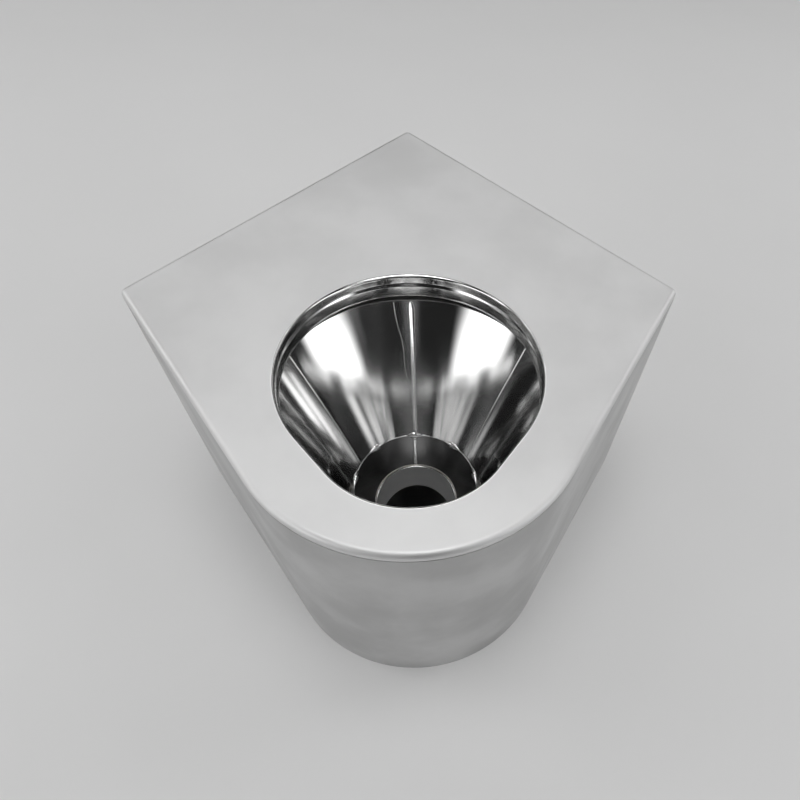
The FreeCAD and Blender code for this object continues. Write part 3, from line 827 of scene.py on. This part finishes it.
def stud_point(angle, row):
    """A point on the threaded stud, closed at both ends and pointed a little at its foot."""
    z = stud_low.z + (stud_high.z - stud_low.z) * min(max(row - 1, 0), STUD_ROWS - 2) / (STUD_ROWS - 2)
    radius = min(STUD_R - thread_cut(angle, z, STUD_PITCH), STUD_R - STUD_PITCH + (z - stud_low.z))
    if row in (0, STUD_ROWS):
        radius = 0
    return stud_place + Vector((radius * math.cos(angle), radius * math.sin(angle), z))


stud = lathe("threaded_stud", STUD_ROWS, stud_point)
dress(stud, fastener, "fastener_steel", "earth_stud")
washer_low, washer_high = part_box("earth_washer")
WASHER_R = (washer_high.x - washer_low.x) / 2
WASHER_EDGE = 0.0003
washer_section = [(STUD_R, washer_low.z), (WASHER_R - WASHER_EDGE, washer_low.z),
                  (WASHER_R, washer_low.z + WASHER_EDGE), (WASHER_R, washer_high.z - WASHER_EDGE),
                  (WASHER_R - WASHER_EDGE, washer_high.z), (STUD_R, washer_high.z)]
washer_section.append(washer_section[0])


def washer_point(angle, row):
    """A point on the washer's section, carried round the stud."""
    radius, z = washer_section[row]
    return stud_place + Vector((radius * math.cos(angle), radius * math.sin(angle), z))


washer = lathe("round_washer", len(washer_section) - 1, washer_point)
bpy.ops.object.shade_smooth_by_angle(angle=SHARP_EDGE)
dress(washer, fastener, "fastener_steel", "earth_washer")
nut_low, nut_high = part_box("earth_nut")
EARTH_NUT_FLATS = min(nut_high.x - nut_low.x, nut_high.y - nut_low.y)
EARTH_NUT_BORE = STUD_R - 0.0003
earth_nut = hexagon_nut("stud_nut", EARTH_NUT_FLATS, nut_high.z - nut_low.z, EARTH_NUT_BORE, STUD_PITCH)
earth_nut.data.transform(Matrix.Translation(stud_place + Vector((0, 0, nut_low.z))))
dress(earth_nut, fastener, "fastener_steel", "earth_nut")


# Skirt: one sheet bent round both flanks and the nose, butted under the deck's fold and ground to a satin
# that is painted darker than the deck's, as painted shade, with a flat foot of thicker sheet stitched inside
# its lower edge.

# Painted shade: the skirt's satin is a darker copy of the deck's.
wear(satin_steel("satin_skirt", clouds=11, dark=0.49, light=0.64), "front_skirt")
wear(mill, "floor_flange")
skirt_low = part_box("front_skirt")[0]
flange_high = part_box("floor_flange")[1]
NOSE_R = 0.199
SKIRT_SHEET = 0.002
FOOT_BEAD = (0.0018, 0.0016)
FOOT_RIPPLES = 10
FOOT_STITCHES = 9
FOOT_FIRST = 195
FOOT_STEP = 18
FOOT_STITCH = 8
nose_middle = Vector((0, skirt_low.y + NOSE_R, flange_high.z + WELD_SINK))


def nose_foot(first, last):
    """The spine of a stitch weld inside the nose, between two angles in degrees."""
    def spine(along):
        angle = math.radians(first + (last - first) * along)
        radial = Vector((math.cos(angle), math.sin(angle), 0))
        up = Vector((0, 0, 1))
        corner = nose_middle + radial * (NOSE_R - SKIRT_SHEET - WELD_SINK)
        return corner, (up + radial).normalized(), (up - radial).normalized()
    return spine


foot_stitches = []
for number in range(FOOT_STITCHES):
    first = FOOT_FIRST + number * FOOT_STEP
    foot_spine = nose_foot(first, first + FOOT_STITCH)
    foot_stitches.append(bead("stitch", foot_spine, FOOT_BEAD, FOOT_RIPPLES, RAW_RELIEF))
dress(joined("foot_stitches", foot_stitches), torch, "mill_steel")


# Wall fixings: a thick plate inside each wall return, stitched at its edges, with two captive hexagon nuts
# welded on it for the studs that come through the wall.

wear(mill, "fixing_plate_left", "fixing_plate_right")
NUT_HEIGHT = 0.0084
NUT_FLATS = 0.017
NUT_BORE = 0.00425
NUT_PITCH = 0.0015
NUT_HEIGHTS = (0.100, 0.300)
PLATE_BEAD = (0.0026, 0.0018)
PLATE_STITCHES = 4
PLATE_SPACING = 0.080
PLATE_FIRST = 0.020
PLATE_SINK = 0.004


def copied(piece):
    """A copy of a piece with its own mesh."""
    twin = piece.copy()
    twin.data = piece.data.copy()
    bpy.context.scene.collection.objects.link(twin)
    return twin


pattern = hexagon_nut("nut_pattern", NUT_FLATS, NUT_HEIGHT, NUT_BORE, NUT_PITCH)
nuts = []
for side, hand in HANDS:
    along, inward = along_wall(side), from_wall(side)
    plate_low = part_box("fixing_plate_" + hand)[0]
    plate_face = reach("fixing_plate_" + hand, inward)[1]
    start, end = reach("fixing_plate_" + hand, along)
    turned = inward.to_track_quat("Z", "Y").to_matrix().to_4x4()
    for z in NUT_HEIGHTS:
        seat = along * ((start + end) / 2) + inward * plate_face + Vector((0, 0, z))
        nut = copied(pattern)
        nut.data.transform(Matrix.Translation(seat) @ turned)
        nuts.append(nut)
    stitches = []
    for edge, face in ((start, -1), (end, 1)):
        for number in range(PLATE_STITCHES):
            foot = along * edge + inward * (plate_face - PLATE_SINK)
            foot.z = plate_low.z + PLATE_FIRST + number * PLATE_SPACING
            out = (along * face + inward).normalized()
            spine = straight(foot, foot + Vector((0, 0, STITCH)), out)
            stitches.append(bead("stitch", spine, PLATE_BEAD, STITCH_RIPPLES, RAW_RELIEF))
    dress(joined("plate_stitches_" + hand, stitches), torch, "mill_steel")
bpy.data.objects.remove(pattern)
dress(joined("captive_nuts", nuts), fastener, "fastener_steel", "weld_nuts")


# Floor: a plain pale studio floor of matt paper under the pan. It is wide enough to fill the picture from
# the photograph's place.

FLOOR_R = 14
bpy.ops.object.select_all(action="DESELECT")
bpy.ops.mesh.primitive_circle_add(vertices=128, radius=FLOOR_R, fill_type="NGON")
floor = bpy.context.object
floor.name = "studio_floor"
paper = Finish("studio_paper")
paper_tone = paper.blend(paper.noise(scale=3), dark=(0.75, 0.75, 0.75), light=(0.78, 0.78, 0.78))
paper.set(Base_Color=paper_tone, Roughness=0.8)
floor.data.materials.append(paper.material)


# Light: soft boxes round the pan and one overhead, in a dim studio whose walls are pale only low down. The
# boxes stand where the bowl's sheets mirror them as bright bands, straight or by way of the opposite sheet,
# and the ones behind and overhead light the deck.

WALL_BRIGHTNESS = 0.40
WALL_FALL = 0.385
world = bpy.data.worlds.new("studio")
bpy.context.scene.world = world
world.use_nodes = True
sky = Bench(world.node_tree)
upward = sky.part(sky.add("ShaderNodeTexCoord", {}, {}, "Generated"), "Z")
brightness = WALL_BRIGHTNESS - sky.fade(upward, start=0.02, end=0.16) * WALL_FALL
sky.feed(world.node_tree.nodes["Background"].inputs["Color"], brightness)
LAMP_DISTANCE = 4.0
LAMP_FEATHER = 0.26
lamp_aim = Vector((0, SUMP_Y, deck_high.z))


def around(turn, rise):
    """A lamp's place, at an angle in degrees from the nose's direction and another above the level."""
    turn, rise = math.radians(turn), math.radians(rise)
    flat = math.cos(rise)
    return lamp_aim + Vector((math.sin(turn) * flat, -math.cos(turn) * flat, math.sin(rise))) * LAMP_DISTANCE


def soft_box(name, place, width, height, radiance):
    """A flat studio lamp that looks at the bowl, evenly bright but for its feathered edges."""
    lamp = bpy.data.lights.new(name, "AREA")
    lamp.shape = "RECTANGLE"
    lamp.size = width
    lamp.size_y = height
    lamp.energy = radiance * math.pi * width * height
    lamp.use_nodes = True
    cloth = Bench(lamp.node_tree)
    spot = cloth.add("ShaderNodeNewGeometry", {}, {}, "Parametric")
    glow = 1.0
    for axis in ("X", "Y"):
        from_edge = 0.5 - abs(cloth.part(spot, axis) - 0.5)
        glow = glow * cloth.fade(from_edge, start=0, end=LAMP_FEATHER)
    cloth.feed(lamp.node_tree.nodes["Emission"].inputs["Strength"], glow)
    holder = bpy.data.objects.new(name, lamp)
    holder.location = place
    holder.rotation_euler = (lamp_aim - place).to_track_quat("-Z", "Y").to_euler()
    holder.visible_camera = False
    bpy.context.scene.collection.objects.link(holder)


# Each lamp has its turn and rise in degrees, its width and height in metres, and its radiance.
for name, turn, rise, width, height, radiance in (
        ("box_left", -59, 21.5, 3.80, 1.90, 2.9),
        ("box_right", 64, 19.5, 3.40, 1.80, 2.9),
        ("box_front_low", 45, 43, 1.13, 0.94, 3.2),
        ("box_front_middle", 28, 51, 1.02, 0.85, 3.0),
        ("box_front_high", 6, 54, 1.27, 0.68, 1.2),
        ("box_side_left", -108, 33, 1.60, 1.50, 2.2),
        ("box_side_left_low", -112, 18.5, 2.50, 1.10, 2.8),
        ("box_side_left_high", -87, 35, 1.59, 1.20, 1.9),
        ("box_side_right", 107, 33, 1.60, 1.50, 2.0),
        ("box_side_right_low", 116, 18.5, 2.50, 1.10, 3.0),
        ("box_far_left_low", -124, 52.5, 0.90, 0.60, 2.2),
        ("box_far_left_high", -102, 60, 1.12, 0.74, 2.5),
        ("box_far_right_low", 117, 54, 1.40, 0.74, 1.6),
        ("box_far_right_high", 95, 58, 0.82, 0.68, 1.5),
        ("box_behind", 180, 43, 6.60, 1.10, 2.5),
        ("box_above", 0, 90, 2.40, 2.40, 5.2)):
    soft_box(name, around(turn, rise), width, height, radiance)


# Camera: looks down on the nose from the photograph's place, with its angle of view. The shift gives the
# photograph's framing, whose middle isn't where the lens points.

IMAGE = 800.0
FOCAL_PIXELS = 633.0
PRINCIPAL_X, PRINCIPAL_Y = 484.0, 467.9
CAMERA_PLACE = (0.0115, -0.5839, 0.9486)
CAMERA_TURN = math.radians(-10.32)
CAMERA_TILT = math.radians(90 - 58.20)
CAMERA_ROLL = math.radians(7.30)
camera_data = bpy.data.cameras.new("camera")
camera_data.sensor_width = 36.0
camera_data.lens = camera_data.sensor_width * FOCAL_PIXELS / IMAGE
camera_data.shift_x = (IMAGE / 2 - PRINCIPAL_X) / IMAGE
camera_data.shift_y = (PRINCIPAL_Y - IMAGE / 2) / IMAGE
camera = bpy.data.objects.new("camera", camera_data)
bpy.context.scene.collection.objects.link(camera)
tilted = Matrix.Rotation(CAMERA_TURN, 4, "Z") @ Matrix.Rotation(CAMERA_TILT, 4, "X")
camera.matrix_world = Matrix.Translation(CAMERA_PLACE) @ tilted @ Matrix.Rotation(CAMERA_ROLL, 4, "Z")
bpy.context.scene.camera = camera
bpy.context.scene.view_settings.view_transform = "Standard"
